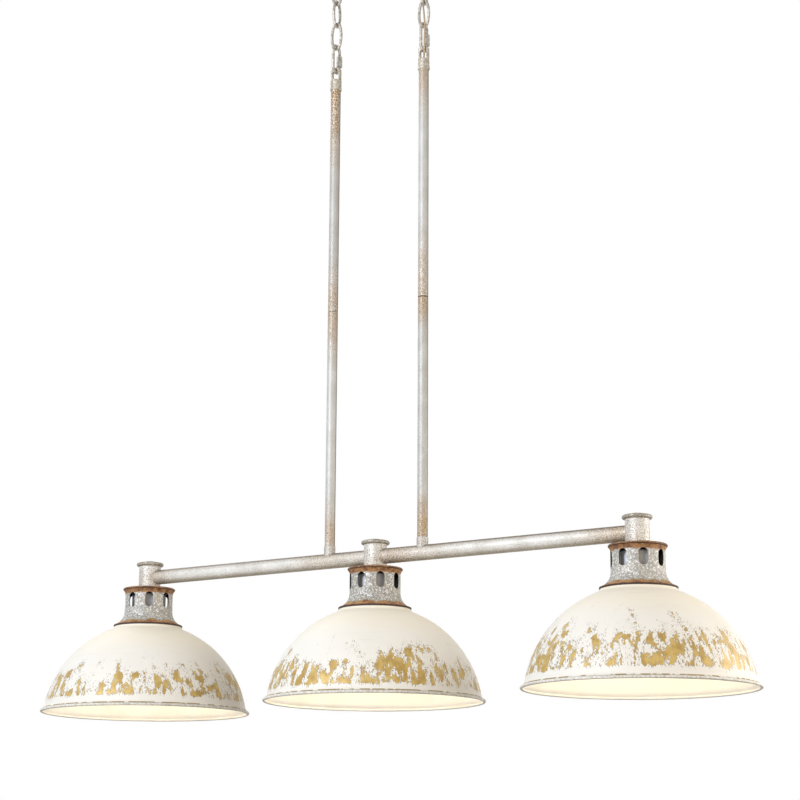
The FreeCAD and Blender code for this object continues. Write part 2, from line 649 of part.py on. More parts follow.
# ---- wires ----
def smooth_path(points, room):
    """Straight runs joined by tangent arcs, each as large as its two runs and the room allow, and the radii."""
    edges, radii, here = [], [], points[0]
    for before, corner, after in zip(points, points[1:], points[2:]):
        come, go = (corner - before), (after - corner)
        half_turn = come.getAngle(go) / 2
        cut = min(ARC_SHARE * min(come.Length, go.Length), room * math.tan(half_turn))
        come.normalize()
        go.normalize()
        radius = cut / math.tan(half_turn)
        inward = go - come
        inward.normalize()
        top = corner + inward * (radius / math.cos(half_turn) - radius)
        start, end = corner - come * cut, corner + go * cut
        edges += [Part.makeLine(here, start), Part.Arc(start, top, end).toShape()]
        radii.append(radius)
        here = end
    edges.append(Part.makeLine(here, points[-1]))
    return edges, radii


def wire(name, points, radius, room):
    edges, radii = smooth_path(points, room)
    solid = round_bar(edges, radius)
    length = sum(e.Length for e in edges)
    share = solid.Volume / (math.pi * radius ** 2 * length)
    print(f"{name}: length {length:.0f}, least radius {min(radii):.1f}, volume {share:.4f} of section x length")
    print("  radii", [round(r, 1) for r in radii])
    return solid


def supply_cord():
    """From inside the canopy down through the right chain, into the rod's loop and down the rod to the bar."""
    x = SIDES["right"]
    side = 4.3
    route = [
        (-20, CANOPY_FLOOR_H + 17, 9), (-8.5, CANOPY_FLOOR_H + 16.5, 3.8), (0, CANOPY_FLOOR_H + 10.5, 0),
        (0, RING_CENTRE_H + 7.5, 0), (side, TOP_LINK_H + CHAIN_LENGTH - 3, -side),
        (3.0, TOP_LINK_H + CHAIN_LENGTH / 2, 0), (side, MIDDLE_LINK_H + CHAIN_LENGTH - 3, side),
        (0, MIDDLE_LINK_H + CHAIN_LENGTH / 2, 3.0), (-side, LOW_LINK_H + CHAIN_LENGTH - 3, side),
        (0.3, LOW_LINK_H + CHAIN_LENGTH / 2, 0), (side, LOW_LINK_H + 3, -side - 0.3),
        (side - 0.2, QUICK_BOTTOM_H + 20, -5.2), (side - 0.3, QUICK_BOTTOM_H + 1.0, -5.3),
        (0, LOOP_BASE_H + 0.5, 0), (0, LOOP_BASE_H - 14, 0.25), (0, BAR_H - 2.5, 0), (-26.5, BAR_H - 2.5, 0),
    ]
    return wire("supply_cord", [point(x + dx, h, y) for dx, h, y in route], CORD_R, CORD_ROOM)


def lamp_wiring():
    """A lead from each lampholder, up its stem and along the bar to one crimped sleeve by the right rod."""
    sleeve_x, sleeve = SIDES["right"] - 38.5, 12.0
    foot_h, upper, lower = HOLDER_SHOULDER_H - 3, BAR_H + 2.6, BAR_H - 2.4
    left, middle, right = LAMPS["left"], LAMPS["middle"], LAMPS["right"]
    end = sleeve_x + sleeve
    routes = {
        "left lead": [(left, foot_h, 1.8), (left, upper, 1.8), (sleeve_x, upper, 1.8)],
        "middle lead": [(middle, foot_h, -1.8), (middle, upper, -1.8), (sleeve_x, upper, -1.8)],
        "right lead": [(right, foot_h, 1.8), (right, upper, 1.8), (right - 30, upper, 1.8),
                       (right - 75, lower, 3.4), (end, lower, 3.4)],
    }
    leads = [wire(name, [point(*p) for p in route], LEAD_R, LEAD_ROOM) for name, route in routes.items()]
    crimp = Part.makeCylinder(5.2, sleeve, point(sleeve_x, BAR_H - 0.2, 0.6), Vector(1, 0, 0))
    return crimp.fuse(leads)


# ---- the nodes ----
def make_canopy():
    save("canopy_shell", canopy_shell())
    save("crossbar", crossbar())
    save("canopy_studs", Part.makeCompound([at(canopy_stud(), x) for x in (-STUD_X, STUD_X)]), 2)
    save("canopy_ball_nuts", Part.makeCompound([at(ball_nut(), x) for x in (-STUD_X, STUD_X)]), 2)
    save("loop_lock_nuts", Part.makeCompound([at(loop_lock_nut(), x) for x in SIDES.values()]), 2)
    for side, x in SIDES.items():
        save(f"canopy_loop_{side}", at(canopy_loop(), x))


def make_chains():
    for side, x in SIDES.items():
        save(f"chain_link_top_{side}", at(chain_link(TOP_LINK_H), x))
        save(f"chain_link_middle_{side}", at(quarter_turned(chain_link(MIDDLE_LINK_H)), x))
        save(f"chain_link_low_{side}", at(chain_link(LOW_LINK_H), x))
        save(f"quick_link_{side}", at(quick_link(), x))
        save(f"quick_link_nut_{side}", at(quick_link_nut(), x))


def make_rods():
    for side, x in SIDES.items():
        save(f"rod_loop_{side}", at(rod_loop(), x))
        upper = down_rod(ROD_JOINT_H, ROD_TOP_H + LOOP_SOCKET - 0.1, "bottom")
        lower = down_rod(ROD_BOTTOM_H - SEAT_DEPTH + 0.1, ROD_JOINT_H, "top")
        save(f"rod_upper_{side}", at(upper, x))
        save(f"rod_lower_{side}", at(lower, x))
    save("rod_couplings", Part.makeCompound([at(rod_coupling(), x) for x in SIDES.values()]), 2)
    save("rod_seats", Part.makeCompound([at(rod_seat(), x) for x in SIDES.values()]), 2)


def make_bar():
    save("bar_left", bar(LAMPS["left"], LAMPS["middle"], SIDES["left"]))
    save("bar_right", bar(LAMPS["middle"], LAMPS["right"], SIDES["right"]))
    ports = {"left": (1,), "middle": (-1, 1), "right": (-1,)}
    for name, x in LAMPS.items():
        save(f"stub_{name}", at(stub(ports[name]), x))
        save(f"stub_cap_{name}", at(stub_cap(), x))


def make_lamps():
    for name, x in LAMPS.items():
        save(f"neck_lid_{name}", at(neck_lid(), x))
        save(f"neck_{name}", at(neck(NECK_TURN[name]), x))
        save(f"husk_{name}", at(husk(), x))
        save(f"shade_{name}", at(shade(), x))
        save(f"lampholder_{name}", at(lampholder(), x))
        save(f"bulb_base_{name}", at(bulb_base(), x))
        save(f"bulb_globe_{name}", at(bulb_globe(), x))
    places = list(LAMPS.values())
    save("screw_shells", Part.makeCompound([at(screw_shell(), x) for x in places]), 3)
    save("shade_rings", Part.makeCompound([at(shade_ring(), x) for x in places]), 3)
    save("socket_stems", Part.makeCompound([at(socket_stem(), x) for x in places]), 3)
    save("stem_nuts", Part.makeCompound([at(nut, x) for x in places for nut in stem_nuts()]), 6)


def make_wires():
    save("supply_cord", supply_cord())
    save("lamp_wiring", lamp_wiring())


os.makedirs("parts", exist_ok=True)
make_canopy()
make_chains()
make_rods()
make_bar()
make_lamps()
make_wires()
for label, height in (("ceiling", CEILING_H), ("canopy floor", CANOPY_FLOOR_H), ("ring centre", RING_CENTRE_H),
                      ("top link", TOP_LINK_H), ("middle link", MIDDLE_LINK_H), ("low link", LOW_LINK_H),
                      ("quick link", QUICK_BOTTOM_H), ("loop top", LOOP_TOP_H), ("loop base", LOOP_BASE_H),
                      ("rod top", ROD_TOP_H)):
    print(f"{label} {height:.2f} above the rims, z {height - CEILING_H:.2f}")
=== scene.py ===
import math

import bpy
from mathutils import Matrix, Vector


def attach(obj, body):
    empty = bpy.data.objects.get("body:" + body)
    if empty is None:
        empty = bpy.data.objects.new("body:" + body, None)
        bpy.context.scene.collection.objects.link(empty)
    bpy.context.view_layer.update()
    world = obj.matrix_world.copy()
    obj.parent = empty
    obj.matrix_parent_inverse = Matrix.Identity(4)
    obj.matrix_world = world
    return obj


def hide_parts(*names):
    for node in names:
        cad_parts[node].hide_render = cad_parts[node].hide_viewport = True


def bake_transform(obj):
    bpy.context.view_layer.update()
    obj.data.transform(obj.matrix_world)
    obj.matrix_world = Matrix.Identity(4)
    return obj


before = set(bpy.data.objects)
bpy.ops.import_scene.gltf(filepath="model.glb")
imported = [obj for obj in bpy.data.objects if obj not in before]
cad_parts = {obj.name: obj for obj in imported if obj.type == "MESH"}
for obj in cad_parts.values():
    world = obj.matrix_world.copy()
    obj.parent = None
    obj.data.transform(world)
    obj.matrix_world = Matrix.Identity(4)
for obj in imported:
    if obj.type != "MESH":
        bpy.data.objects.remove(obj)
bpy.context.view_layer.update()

# Linear island pendant: three dome shades on one bar, under two jointed rods and two short chains.
# Lengths named here are millimetres, as on the maker's drawing. Heights (_H) count up from the plane of the
# shade rims, and the ceiling is at CEILING_H. The frame's own z is 0 at the ceiling (_Z).
MM = 0.001
CEILING_H = 1010.35
FLOOR_BELOW_CEILING = 2740.0            # a nine foot room
FLOOR_HALF = 9000.0
LAMPS = {"left": -358.0, "middle": 0.0, "right": 358.0}
SIDES = {"left": -68.5, "right": 68.5}
DOME_CENTRE_H = -15.0
RIM_BEAD_TOP_H = 3.5                    # the rolled rim, rubbed to metal
PRESSED_LINE_H = 3.6                    # the line pressed in above it
NECK_EDGE_TOP_H = 115.2                 # the gallery's rolled foot
NECK_LIP_H = 155.5                      # the gallery's flared upper edge
LID_EDGE_H = 162.2
STUB_FOOT_H = 168.0
BAR_H = 178.5
ROD_BOTTOM_H = 197.4
ROD_JOINT_H = 502.2
ROD_TOP_H = 807.0
LOOP_BASE_H = 821.8
QUICK_LINK_H = 830.85
LOW_LINK_H = 864.60
MIDDLE_LINK_H = 896.55
TOP_LINK_H = 928.10
LINK_LENGTH = 39.6
HALF_LINK = LINK_LENGTH / 2
RING_CENTRE_H = 970.15
CANOPY_FLOOR_H = 986.35

# finishes that differ from lamp to lamp, as in the photograph
CHIP_BANDS = {"left": (9.0, 57.0), "middle": (6.5, 57.0), "right": (9.0, 67.0)}     # lowest and highest chips
NECK_BLOOM = {"left": 0.05, "middle": 0.0, "right": 0.12}                           # share of pale bloom
PAINTED_SHADE_SIDE = (0.974, 0.225, 0.0)         # which way the rods' dark line of painted shade faces
SEAM_LEFT_SIDE = 0.12                   # how dark the joint lines of the two rods are
SEAM_RIGHT_SIDE = 0.9
BULB_GLOW = 8.6
FLOOR_GLOW = 0.66

MIX_A, MIX_B, MIX_RESULT = 6, 7, 2      # colour sockets of the mix node


def z_of(h):
    return h - CEILING_H


def metres(x, y, h):
    return Vector((x, y, h - CEILING_H)) * MM


# ---- colours and nodes ----
def rgb(code):
    """sRGB hex colour as linear RGBA."""
    parts = [int(code[i:i + 2], 16) / 255 for i in (1, 3, 5)]
    return tuple(c / 12.92 if c <= 0.04045 else ((c + 0.055) / 1.055) ** 2.4 for c in parts) + (1.0,)


def add(tree, kind, into=None, **settings):
    """Adds a node: settings are its properties, into gives its inputs a value or another node's output."""
    node = tree.nodes.new(kind)
    for key, value in settings.items():
        setattr(node, key, value)
    for key, value in (into or {}).items():
        if isinstance(value, bpy.types.NodeSocket):
            tree.links.new(value, node.inputs[key])
        else:
            node.inputs[key].default_value = value
    return node


def start_finish(name, lamp_x=None, **shader_values):
    """Material with a principled shader. It also gives the place on the object in millimetres, counted from
    the frame's origin or, with lamp_x, from that lamp's own axis in the plane of its rim, and which way the
    surface faces."""
    material = bpy.data.materials.new(name)
    material.use_nodes = True
    tree = material.node_tree
    tree.nodes.clear()
    shader = add(tree, "ShaderNodeBsdfPrincipled", {k.replace("_", " "): v for k, v in shader_values.items()})
    add(tree, "ShaderNodeOutputMaterial", {"Surface": shader.outputs[0]})
    where = add(tree, "ShaderNodeTexCoord")
    place = add(tree, "ShaderNodeVectorMath", {0: where.outputs["Object"], "Scale": 1 / MM}, operation="SCALE")
    if lamp_x is not None:
        place = add(tree, "ShaderNodeVectorMath", {0: place.outputs[0], 1: (lamp_x, 0, z_of(0))},
                    operation="SUBTRACT")
    return material, tree, shader, place.outputs[0], where.outputs["Normal"]


def end_finish(tree, shader, relief=None, depth=0.0, strength=1.0, **values):
    """Links what a finish has worked out to the shader, and its relief, depth millimetres high."""
    for key, value in values.items():
        tree.links.new(value, shader.inputs[key.replace("_", " ")])
    if relief is not None:
        bump = add(tree, "ShaderNodeBump", {"Height": relief, "Distance": depth * MM, "Strength": strength})
        tree.links.new(bump.outputs[0], shader.inputs["Normal"])


def grain(tree, place, size, seed=0.0, detail=2.0, rough=0.5, stretch=(1, 1, 1)):
    """Cloudy pattern, 0 to 1, whose lumps are about size millimetres, longer along an axis by its stretch."""
    squeezed = add(tree, "ShaderNodeMapping", {0: place, "Location": (seed, seed * 0.7, -seed),
                                               "Scale": tuple(1 / (size * s) for s in stretch)})
    noise = add(tree, "ShaderNodeTexNoise", {"Vector": squeezed.outputs[0], "Scale": 1.0, "Detail": detail,
                                             "Roughness": rough})
    return noise.outputs[0]


def share(tree, *parts):
    """Product of its parts. A part is a number, a node's output, or (pattern, low, high), which goes smoothly
    from 0 to 1 as the pattern goes from low to high, or from least to most where these follow high. high may
    lie under low."""
    product = None
    for part in parts:
        if isinstance(part, tuple):
            pattern, low, high, least, most = part if len(part) == 5 else (*part, 0.0, 1.0)
            part = add(tree, "ShaderNodeMapRange", {0: pattern, 1: low, 2: high, 3: least, 4: most},
                       interpolation_type="SMOOTHSTEP").outputs[0]
        if product is None:
            product = part
        else:
            product = add(tree, "ShaderNodeMath", {0: product, 1: part}, operation="MULTIPLY").outputs[0]
    return product


def cover(tree, under, over, *parts):
    """Colour over laid on colour under, as thick as the share that the parts give. A colour is a hex value or
    a node's output."""
    under, over = (rgb(colour) if isinstance(colour, str) else colour for colour in (under, over))
    return add(tree, "ShaderNodeMix", {0: share(tree, *parts), MIX_A: under, MIX_B: over},
               data_type="RGBA").outputs[MIX_RESULT]


def waver(tree, value, *swings):
    """value made uneven: each swing (pattern, middle, weight) adds weight times the pattern less its middle."""
    for pattern, middle, weight in swings:
        swing = add(tree, "ShaderNodeMath", {0: pattern, 1: weight, 2: -middle * weight}, operation="MULTIPLY_ADD")
        value = add(tree, "ShaderNodeMath", {0: value, 1: swing.outputs[0]}, operation="ADD").outputs[0]
    return value


def distance(tree, value, centre):
    """How far value is from centre, on either side."""
    offset = add(tree, "ShaderNodeMath", {0: value, 1: centre}, operation="SUBTRACT")
    return add(tree, "ShaderNodeMath", {0: offset.outputs[0]}, operation="ABSOLUTE").outputs[0]


# ---- materials ----
def aged_pipe(name, rust=(), axis=2, light="#CCCBC7", dark="#C1C0BA", pepper=0.35, white_share=0.25, seam=0.0):
    """Steel tube, sprayed and rubbed by hand to look like old galvanised pipe: a satin silvery white, partly
    metallic from the flakes in the paint, with a pepper of 1 mm. It is brown where it faces up, as dust and painted
    shade, and where it faces down, as painted shade, and has a rusty tint over the places in rust, which are
    (centre, reach, strength) along the tube's axis. A bar, which lies along axis 0, has a dark line of painted shade
    on its very top. white_share is how white the specks in the rusty places are. A rod has seam, the darkness of the
    line between its two sections, and a faint dark line of painted shade down one side of its length."""
    material, tree, shader, place, normal = start_finish(name, Metallic=0.25, Specular_IOR_Level=0.2)
    along = add(tree, "ShaderNodeSeparateXYZ", {0: place}).outputs[axis]
    upward = add(tree, "ShaderNodeSeparateXYZ", {0: normal}).outputs[2]
    patch = grain(tree, place, 24.0, 3.1, detail=3.0)
    fleck = grain(tree, place, 1.1, 7.7, detail=1.0)
    colour = cover(tree, dark, light, (patch, 0.34, 0.66))
    near = 0.0
    for centre, reach, strength in rust:
        zone = share(tree, (distance(tree, along, centre), reach, reach * 0.1, 0.0, strength))
        near = add(tree, "ShaderNodeMath", {0: zone, 1: near}, operation="MAXIMUM").outputs[0]
    if rust:
        cloud = grain(tree, place, 13.0, 9.2, detail=4.0, stretch=(1, 1, 2))
        colour = cover(tree, colour, "#B0926A", near, (cloud, 0.25, 0.60, 0.45, 1.0))
    # brown where the tube faces up, as dust and painted shade, and where it faces down, as painted shade
    colour = cover(tree, colour, "#877A62", (upward, 0.30, 0.80, 0.0, 0.5))
    colour = cover(tree, colour, "#877A62", (upward, -0.35, -0.95, 0.0, 0.7))
    # a bar's very top gets a dark line of painted shade
    if axis == 0:
        colour = cover(tree, colour, "#4E3D2C", (upward, 0.60, 0.80, 0.0, 0.8))
    for speck, weight, low, high in (("#F2EFE8", white_share, 0.57, 0.63), ("#6F5034", 0.8, 0.44, 0.37)):
        amount = add(tree, "ShaderNodeMath", {0: near, 1: weight, 2: pepper}, operation="MULTIPLY_ADD")
        colour = cover(tree, colour, speck, amount.outputs[0], (fleck, low, high))
    if seam:
        joint = distance(tree, along, z_of(ROD_JOINT_H))
        colour = cover(tree, colour, "#3B2E22", (joint, 0.9, 0.4, 0.0, seam))
        # a faint dark line of painted shade down one side of the rod
        painted_shade_line = add(tree, "ShaderNodeVectorMath", {0: normal, 1: PAINTED_SHADE_SIDE}, operation="DOT_PRODUCT")
        colour = cover(tree, colour, "#57524A", (painted_shade_line.outputs["Value"], 0.968, 0.990, 0.0, 0.6))
    end_finish(tree, shader, fleck, 0.08, 0.4, Base_Color=colour,
               Roughness=share(tree, (fleck, 0.3, 0.7, 0.56, 0.48)))
    return material


def spangled_zinc(name, x, seed, bloom):
    """Hot-dip galvanised sheet, weathered dull, so that hardly any of it shines: warm grey with white crystals
    of 1 to 2 mm, beige clouds and fine dark seams between the crystals, under a share of pale bloom. Both rolled
    edges have rusted, darker in the lid's shadow, with a khaki fringe over the lower one. The gallery's inner
    side and the walls of its slots are near-black painted shade."""
    material, tree, shader, place, normal = start_finish(name, x, Metallic=0.1)
    height = add(tree, "ShaderNodeSeparateXYZ", {0: place}).outputs[2]
    warp = add(tree, "ShaderNodeTexNoise", {"Vector": place, "Scale": 0.4, "Detail": 3.0}).outputs["Color"]
    bent = add(tree, "ShaderNodeVectorMath", {0: warp, 1: (3.0, 3.0, 3.0), 2: place}, operation="MULTIPLY_ADD")
    crystal = {"Vector": bent.outputs[0], "Scale": 1 / 1.6}
    crystals = add(tree, "ShaderNodeTexVoronoi", crystal).outputs["Color"]
    shade = add(tree, "ShaderNodeSeparateXYZ", {0: crystals}).outputs[0]
    seams = add(tree, "ShaderNodeTexVoronoi", crystal, feature="DISTANCE_TO_EDGE").outputs["Distance"]
    fine = grain(tree, place, 1.0, seed + 3.0, detail=3.0, rough=0.65)
    cloud = grain(tree, place, 7.0, seed + 2.0, detail=4.0, rough=0.6)
    colour = cover(tree, "#B0AEA8", "#D3CABA", (cloud, 0.42, 0.58))
    colour = cover(tree, colour, "#908E87", (shade, 0.25, 0.15, 0.0, 0.7))
    colour = cover(tree, colour, "#F1F0EC", (shade, 0.70, 0.74))
    colour = cover(tree, colour, "#63605B", (seams, 0.10, 0.03, 0.0, 0.75))
    colour = cover(tree, colour, "#75726C", (fine, 0.45, 0.39, 0.0, 0.6))
    colour = cover(tree, colour, "#F4F1EA", bloom)
    # rust at both edges, its border ragged above and in long waves below
    ragged = grain(tree, place, 6.0, seed + 9.0, detail=4.0, rough=0.55)
    swell = grain(tree, place, 15.0, seed + 7.0, detail=1.0, stretch=(1, 1, 4))
    low_edge = waver(tree, height, (swell, 0.0, -6.5))
    high_edge = waver(tree, height, (ragged, 0.5, 5.0))
    colour = cover(tree, colour, "#948557", (low_edge, NECK_EDGE_TOP_H + 2.3, NECK_EDGE_TOP_H + 1.7),
                   (ragged, 0.40, 0.55, 0.3, 1.0))
    low_rust = share(tree, (low_edge, NECK_EDGE_TOP_H + 0.8, NECK_EDGE_TOP_H + 0.4))
    high_rust = share(tree, (high_edge, NECK_LIP_H, NECK_LIP_H + 0.9))
    rust = add(tree, "ShaderNodeMath", {0: low_rust, 1: high_rust}, operation="MAXIMUM").outputs[0]
    tone = cover(tree, "#8D6040", "#D09C66", (ragged, 0.36, 0.60))
    tone = cover(tree, tone, "#533626", (fine, 0.50, 0.40, 0.0, 0.7))
    tone = cover(tree, tone, "#2E1D12", (height, NECK_LIP_H - 10.5, NECK_LIP_H - 5.5, 0.0, 0.3))
    colour = cover(tree, colour, tone, rust)
    colour = cover(tree, colour, "#3A2A22", (height, NECK_EDGE_TOP_H, NECK_EDGE_TOP_H - 0.5))
    # near-black painted shade wherever the sheet doesn't face out from the lamp's axis
    level = add(tree, "ShaderNodeVectorMath", {0: place, 1: (1, 1, 0)}, operation="MULTIPLY").outputs[0]
    outward = add(tree, "ShaderNodeVectorMath", {0: level}, operation="NORMALIZE").outputs[0]
    facing = add(tree, "ShaderNodeVectorMath", {0: outward, 1: normal}, operation="DOT_PRODUCT").outputs["Value"]
    colour = cover(tree, colour, "#14110F", (facing, 0.45, 0.25),
                   (height, NECK_EDGE_TOP_H - 0.6, NECK_EDGE_TOP_H))
    end_finish(tree, shader, waver(tree, shade, (fine, 0.0, 1.0)), 0.12, 0.5, Base_Color=colour,
               Roughness=waver(tree, 0.52, (rust, 0.0, 0.2)))
    return material


def rusted_lid(name, x, seed):
    """Spun steel lid, left bare: its rounded edge has rusted all over, and its top keeps some zinc grey. Its lower
    edge is painted darker, as shade.
    """
    material, tree, shader, place, _ = start_finish(name, x, Roughness=0.62)
    height = add(tree, "ShaderNodeSeparateXYZ", {0: place}).outputs[2]
    coarse = grain(tree, place, 7.0, seed, detail=5.0, rough=0.6)
    fine = grain(tree, place, 1.5, seed + 4.0, detail=3.0)
    colour = cover(tree, "#6E4C33", "#AD7F57", (coarse, 0.38, 0.60))
    colour = cover(tree, colour, "#43301F", (fine, 0.53, 0.62, 0.0, 0.85))
    zinc = cover(tree, "#A39E93", "#D5D1C7", (fine, 0.40, 0.60))
    zinc = cover(tree, zinc, "#94795A", (coarse, 0.52, 0.70, 0.0, 0.7))
    level = add(tree, "ShaderNodeVectorMath", {0: place, 1: (1, 1, 0)}, operation="MULTIPLY").outputs[0]
    out = add(tree, "ShaderNodeVectorMath", {0: level}, operation="LENGTH").outputs["Value"]
    colour = cover(tree, colour, zinc, (waver(tree, out, (coarse, 0.0, 6.0)), 33.5, 30.5, 0.0, 0.9))
    # painted shade along the lid's lower edge
    colour = cover(tree, colour, "#38261C", (height, LID_EDGE_H, LID_EDGE_H - 0.5))
    end_finish(tree, shader, fine, 0.12, 0.5, Base_Color=colour)
    return material


def chipped_enamel(name, x, seed, lowest, highest):
    """Sheet with a brass-coloured primer, brushed over with satin ivory enamel. Above the rim the enamel has come
    away in upright ragged chips, with dark specks and hairlines round them, and the rolled rim is rubbed grey.
    The inside is cream enamel, baked darker by the bulb towards the top. lowest and highest bound the chips'
    band."""
    material, tree, shader, place, normal = start_finish(name, x)
    height = add(tree, "ShaderNodeSeparateXYZ", {0: place}).outputs[2]
    # paint, yellower towards the top, with faint marks of a brush led round the shade
    brush = grain(tree, place, 1.5, seed, detail=2.0, stretch=(26, 26, 1))
    cloud = grain(tree, place, 45.0, seed + 5.0, detail=3.0)
    ivory = cover(tree, "#F3EEE3", "#F9F6EE", cloud)
    ivory = cover(tree, ivory, "#FEF5E1", (height, 62.0, 102.0, 0.0, 0.85))
    ivory = cover(tree, ivory, "#DBD2BF", (brush, 0.60, 0.80, 0.0, 0.25))
    # chips: lumps of 8 mm, taller than wide, toothed with fine upright strokes, in clusters in a band above the
    # rim whose upper edge goes up and down with them
    lumps = grain(tree, place, 8.0, seed + 11.0, detail=4.0, rough=0.48, stretch=(1, 1, 2.8))
    teeth = grain(tree, place, 1.5, seed + 17.0, detail=3.0, rough=0.6, stretch=(1, 1, 8.0))
    clusters = grain(tree, place, 26.0, seed + 23.0, detail=2.0, stretch=(1, 1, 2.5))
    frayed = waver(tree, height, (clusters, 0.5, -70.0))
    band = share(tree, (frayed, highest + 12.0, highest - 22.0), (height, lowest, lowest + 7.0))
    field = waver(tree, lumps, (teeth, 0.5, 0.42), (clusters, 0.5, 0.35), (band, 1.0, 0.40))
    chip = share(tree, (field, 0.506, 0.518))
    gold = cover(tree, "#B89751", "#D5B76E", (grain(tree, place, 12.0, seed + 31.0, detail=3.0), 0.35, 0.65))
    gold = cover(tree, gold, "#9C7D3C", (teeth, 0.50, 0.36, 0.0, 0.4))
    # specks crowd round the chips; hairlines run up and down beside them
    pepper = grain(tree, place, 1.7, seed + 37.0, detail=1.0, stretch=(1, 1, 1.5))
    hair = grain(tree, place, 1.1, seed + 43.0, detail=2.0, stretch=(1, 1, 16.0))
    beside = share(tree, (field, 0.22, 0.44), (frayed, highest + 16.0, highest - 6.0), (height, 4.4, 7.0))
    colour = cover(tree, ivory, "#5F523B", (pepper, 0.625, 0.675), beside, 0.85)
    colour = cover(tree, colour, "#84734F", (hair, 0.60, 0.66), beside, 0.8)
    colour = cover(tree, colour, gold, chip)
    colour = cover(tree, colour, "#80683A", (field, 0.487, 0.506), (field, 0.533, 0.518), 0.65)
    # the pressed line over the rolled rim: a dark line with brass dashes, and the rim rubbed to a silvery grey with
    # painted shade on its underside
    dash = grain(tree, place, 12.0, seed + 40.0, detail=3.0, stretch=(1, 1, 8))
    worn = grain(tree, place, 2.4, seed + 50.0, detail=4.0, rough=0.7)
    above_line = distance(tree, height, PRESSED_LINE_H + 0.7)
    colour = cover(tree, colour, "#A48B50", (dash, 0.44, 0.50), (above_line, 0.9, 0.6))
    colour = cover(tree, colour, "#6F624C", (distance(tree, height, PRESSED_LINE_H), 0.55, 0.25, 0.0, 0.7))
    rim = cover(tree, "#F5F2EA", "#CECABF", (worn, 0.42, 0.62))
    # painted shade on the rim's underside
    rim = cover(tree, rim, "#766D5E", (height, 1.0, 0.5, 0.0, 0.6))
    colour = cover(tree, colour, rim, (height, RIM_BEAD_TOP_H, RIM_BEAD_TOP_H - 0.3))
    # inside: where the surface faces the dome's centre
    outward = add(tree, "ShaderNodeVectorMath", {0: place, 1: (0, 0, DOME_CENTRE_H)}, operation="SUBTRACT").outputs[0]
    facing = add(tree, "ShaderNodeVectorMath", {0: outward, 1: normal}, operation="DOT_PRODUCT").outputs["Value"]
    inward = add(tree, "ShaderNodeMath", {0: facing, 1: 0.0}, operation="LESS_THAN").outputs[0]
    inside = share(tree, inward, (height, 0.5, 0.9))
    enamel = cover(tree, "#FBF6ED", "#DCD2BB", (height, 28.0, 75.0))
    enamel = cover(tree, enamel, "#E6D9BE", (cloud, 0.4, 0.7, 0.0, 0.2))
    colour = cover(tree, colour, enamel, inside)
    bare = share(tree, chip, (inside, 1.0, 0.0))
    end_finish(tree, shader, waver(tree, share(tree, brush, 0.3), (bare, 0.0, -1.0)), 0.2, 0.6, Base_Color=colour,
               Metallic=share(tree, bare, 0.2), Roughness=share(tree, (bare, 0.0, 1.0, 0.55, 0.48)))
    return material


def sprayed_grey(name, x):
    """Steel cup sprayed matt grey: a slow mottle, and painted black at its top as the lid's shadow."""
    material, tree, shader, place, _ = start_finish(name, x, Roughness=0.6, Specular_IOR_Level=0.1)
    height = add(tree, "ShaderNodeSeparateXYZ", {0: place}).outputs[2]
    mottle = grain(tree, place, 6.0, 2.0, detail=3.0)
    colour = cover(tree, "#EAEDF6", "#F2F4F9", mottle)
    # painted shadow of the lid: darker over the cup's upper part and black at its top
    colour = cover(tree, colour, "#262629", (height, 146.0, 156.0, 0.0, 0.2))
    colour = cover(tree, colour, "#161514", (height, 153.5, 156.5))
    end_finish(tree, shader, mottle, 0.05, 0.3, Base_Color=colour)
    return material


def worn_plate(name, light, dark, metallic=0.5, rough=0.42, size=4.0):
    """Plated or painted small part, handled and lightly tarnished: clouds of a few millimetres with a fine
    grain, duller where the grain is dark. The grain is drawn at 0.9 mm, coarser than a real one, to show."""
    material, tree, shader, place, _ = start_finish(name, Metallic=metallic, Specular_IOR_Level=0.3)
    cloud = grain(tree, place, size, 1.7, detail=4.0, rough=0.6)
    fine = grain(tree, place, 0.9, 5.3, detail=3.0, rough=0.7)
    colour = cover(tree, dark, light, (cloud, 0.38, 0.62))
    colour = cover(tree, colour, "#5E5347", (fine, 0.46, 0.36, 0.0, 0.5))
    end_finish(tree, shader, fine, 0.06, 0.5, Base_Color=colour,
               Roughness=share(tree, (fine, 0.3, 0.7, rough + 0.08, rough - 0.08)))
    return material


def glazed_porcelain():
    """Fired and glazed body: white, with a slow waver in the glaze that catches the light."""
    material, tree, shader, place, _ = start_finish("glazed_porcelain", Roughness=0.18, Coat_Weight=0.4)
    glaze = grain(tree, place, 8.0, 0.4)
    end_finish(tree, shader, glaze, 0.1, 0.2, Base_Color=cover(tree, "#E9E5DA", "#F4F1E8", glaze))
    return material


def blown_opal_glass():
    """Blown bulb with a white inner coat, lit: it sends its light evenly through the whole globe."""
    material, tree, shader, place, _ = start_finish("blown_opal_glass", Roughness=0.3, Emission_Strength=BULB_GLOW)
    cloud = grain(tree, place, 20.0, 0.9)
    end_finish(tree, shader, Base_Color=cover(tree, "#FFF4DF", "#FFF8EA", cloud),
               Emission_Color=cover(tree, "#FFF5E2", "#FFF8EA", cloud))
    return material


def extruded_clear_vinyl():
    """Extruded clear jacket, yellowed, over brown strands: they show through as slanting lines 1.6 mm apart."""
    material, tree, shader, place, _ = start_finish("extruded_clear_vinyl", Roughness=0.3, Coat_Weight=0.3)
    strands = add(tree, "ShaderNodeTexWave", {"Vector": place, "Scale": 1 / 5.0, "Distortion": 1.5, "Detail": 1.0},
                  wave_type="BANDS", bands_direction="DIAGONAL").outputs[1]
    end_finish(tree, shader, Base_Color=cover(tree, "#A48A68", "#CDBB9C", strands))
    return material


def drawn_copper():
    """Copper drawn to wire: bright orange with streaks from the die, drawn coarser than real ones, to show."""
    material, tree, shader, place, _ = start_finish("drawn_copper", Metallic=1.0, Roughness=0.3)
    streaks = grain(tree, place, 0.4, 2.0)
    end_finish(tree, shader, Base_Color=cover(tree, "#A8623A", "#D08A5C", streaks))
    return material


